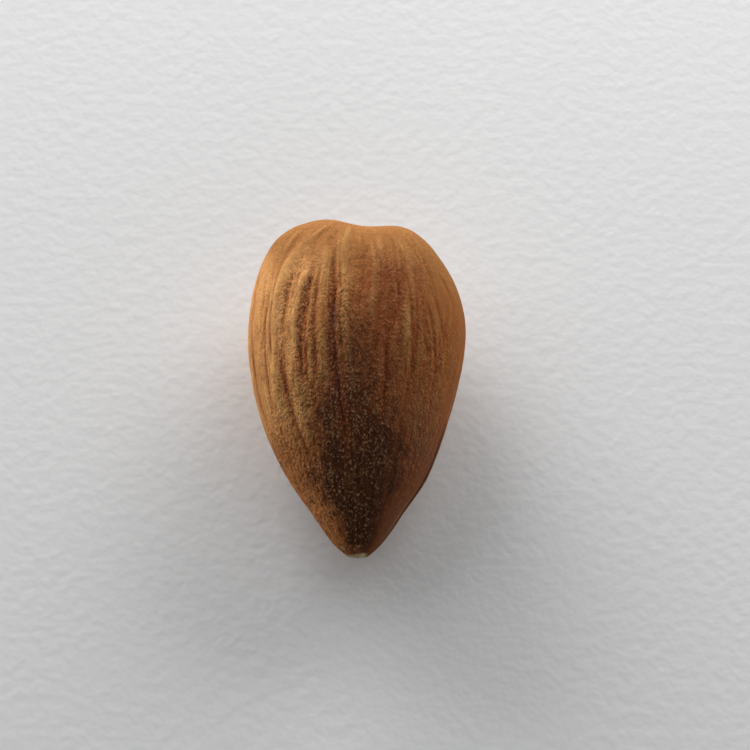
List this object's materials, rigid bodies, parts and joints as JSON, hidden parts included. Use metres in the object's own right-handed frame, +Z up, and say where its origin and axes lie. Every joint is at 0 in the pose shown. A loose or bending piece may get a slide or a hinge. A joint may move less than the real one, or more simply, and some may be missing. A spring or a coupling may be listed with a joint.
{
  "type": "apricot kernel",
  "caption": "Whole apricot kernel in its veined brown skin: a flattened teardrop with a blunt notched end and a small worn tip, lying on its broad side.",
  "frame": {"origin": "on the surface that the kernel lies on, under the middle of its bounding box", "axes": "+X across the kernel's width, +Y from its tip to its blunt end, +Z up through its thickness"},
  "size_m": [0.0104, 0.017, 0.0064],
  "materials": {
    "kernel_skin": "matt"
  },
  "bodies": {
    "root": {"kernel": "kernel_skin"}
  },
  "joints": []
}
